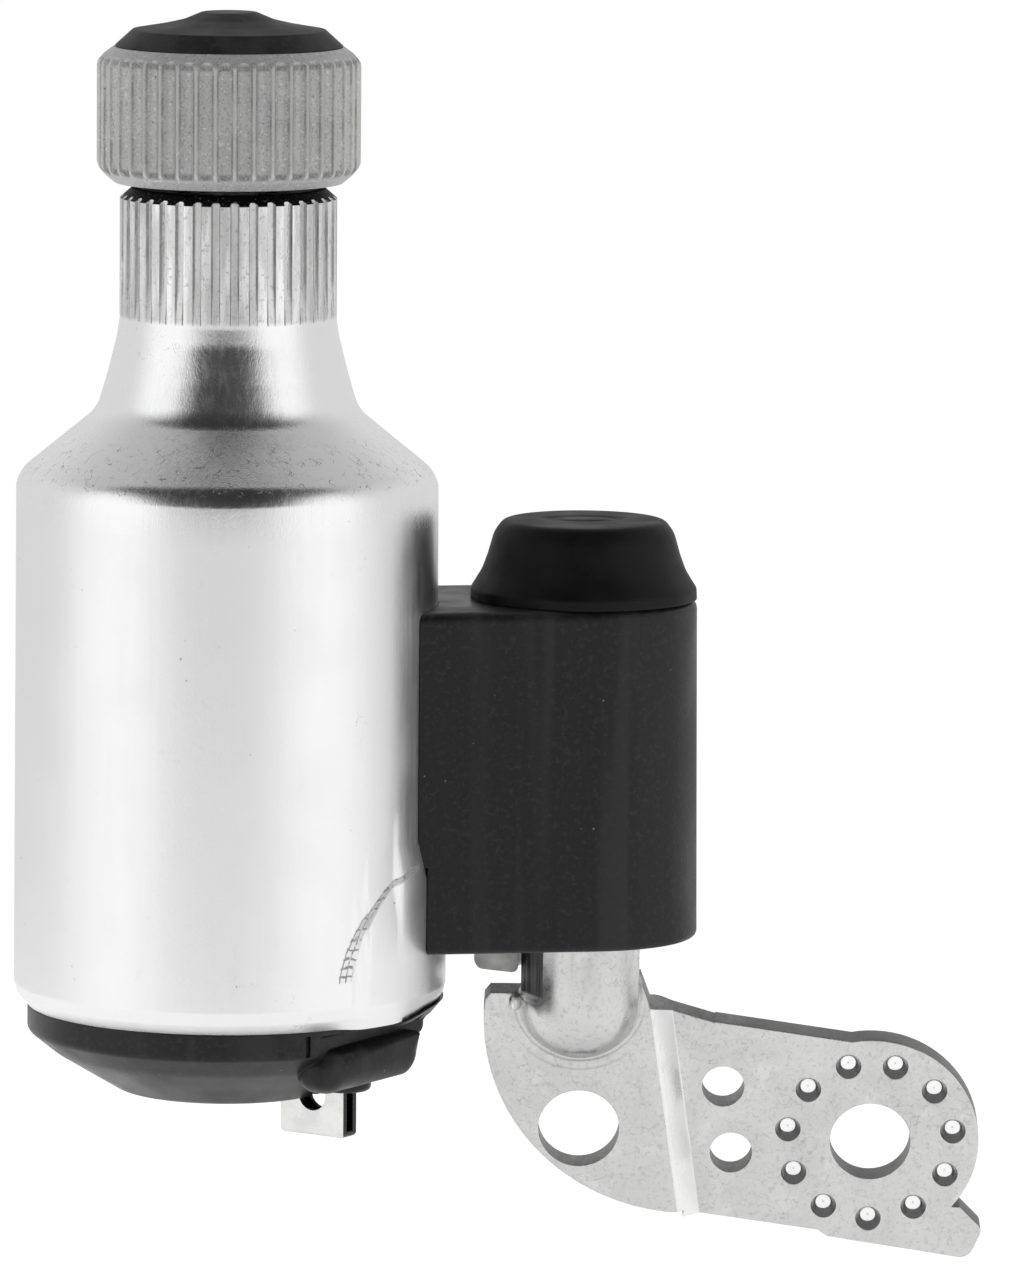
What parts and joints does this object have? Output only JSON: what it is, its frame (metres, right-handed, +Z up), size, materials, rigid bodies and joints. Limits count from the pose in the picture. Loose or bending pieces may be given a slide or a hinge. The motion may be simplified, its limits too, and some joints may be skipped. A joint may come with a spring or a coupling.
{
  "type": "bottle dynamo",
  "caption": "Bottle dynamo for a bicycle lamp: a fluted drive roller on a bright bottle, carried by a black sprung swivel tower on a pressed steel fork bracket.",
  "frame": {"origin": "centre of the bracket's main bolt hole, half way through the sheet", "axes": "+Z up along the roller's and the swivel's axes, towards the roller; +X from the bottle towards the bracket's bolt hole; +Y towards the tyre"},
  "size_m": [0.0976, 0.0423, 0.1273],
  "materials": {
    "roller_zinc": "matt cast zinc",
    "black_plastic": "fine-grained moulded plastic",
    "black_rubber": "matt rubber",
    "bottle_aluminium": "bright satin, drawn",
    "plated_steel": "bright zinc plating over pressed steel",
    "ground_steel": "ground",
    "spring_steel": "plain spring wire",
    "tinned_strip": "tin plated",
    "pole_steel": "plain pressed sheet",
    "bearing_bronze": "sintered, oil-soaked",
    "oiled_felt": "felt",
    "magnet_ferrite": "sintered ferrite",
    "bobbin_plastic": "natural nylon",
    "copper_wire": "enamelled copper"
  },
  "bodies": {
    "bracket": {"fork_bracket": "plated_steel", "retaining_ring": "spring_steel"},
    "dynamo": {"bottle_shell": "bottle_aluminium", "neck_bearing_holder": "pole_steel", "upper_bush": "bearing_bronze", "felt_ring": "oiled_felt", "lower_bush": "bearing_bronze", "bearing_plate": "pole_steel", "lower_pole_cup": "pole_steel", "upper_pole_cup": "pole_steel", "coil_bobbin": "bobbin_plastic", "coil_winding": "copper_wire", "bottom_cap": "black_plastic", "swivel_tower": "black_plastic", "pivot_sleeve": "plated_steel", "tower_screws": "plated_steel", "swing_spring": "spring_steel", "button_boot": "black_rubber", "button_spring": "spring_steel", "terminal_spring": "spring_steel"},
    "rotor": {"roller": "roller_zinc", "roller_cap": "black_plastic", "roller_nut": "plated_steel", "slinger_ring": "black_rubber", "rotor_shaft": "ground_steel", "magnet_hub": "bobbin_plastic", "rotor_magnet": "magnet_ferrite"},
    "terminal": {"terminal_strip": "tinned_strip"},
    "button": {"release_button": "black_plastic"}
  },
  "joints": [
    {"name": "swing", "type": "hinge", "parent": "bracket", "child": "dynamo", "pos_m": [-0.0296, -0.00705, 0.0356], "axis": [0, 0, 1], "range_deg": [0, 25], "stiffness_Nm_per_rad": 0.35, "springref_deg": -57.3},
    {"name": "roller_spin", "type": "hinge", "parent": "dynamo", "child": "rotor", "pos_m": [-0.0651, -0.01265, 0.1036], "axis": [0, 0, 1], "continuous": true},
    {"name": "button_press", "type": "slide", "parent": "dynamo", "child": "button", "axis": [0, 0, -1], "range_m": [0, 0.002], "stiffness_N_per_m": 800, "springref_m": -0.003, "deforming": ["button_boot", "button_spring"]},
    {"name": "terminal_pull", "type": "slide", "parent": "dynamo", "child": "terminal", "axis": [0, 0, -1], "range_m": [0, 0.002], "stiffness_N_per_m": 400, "springref_m": -0.003, "deforming": ["terminal_spring"]}
  ]
}
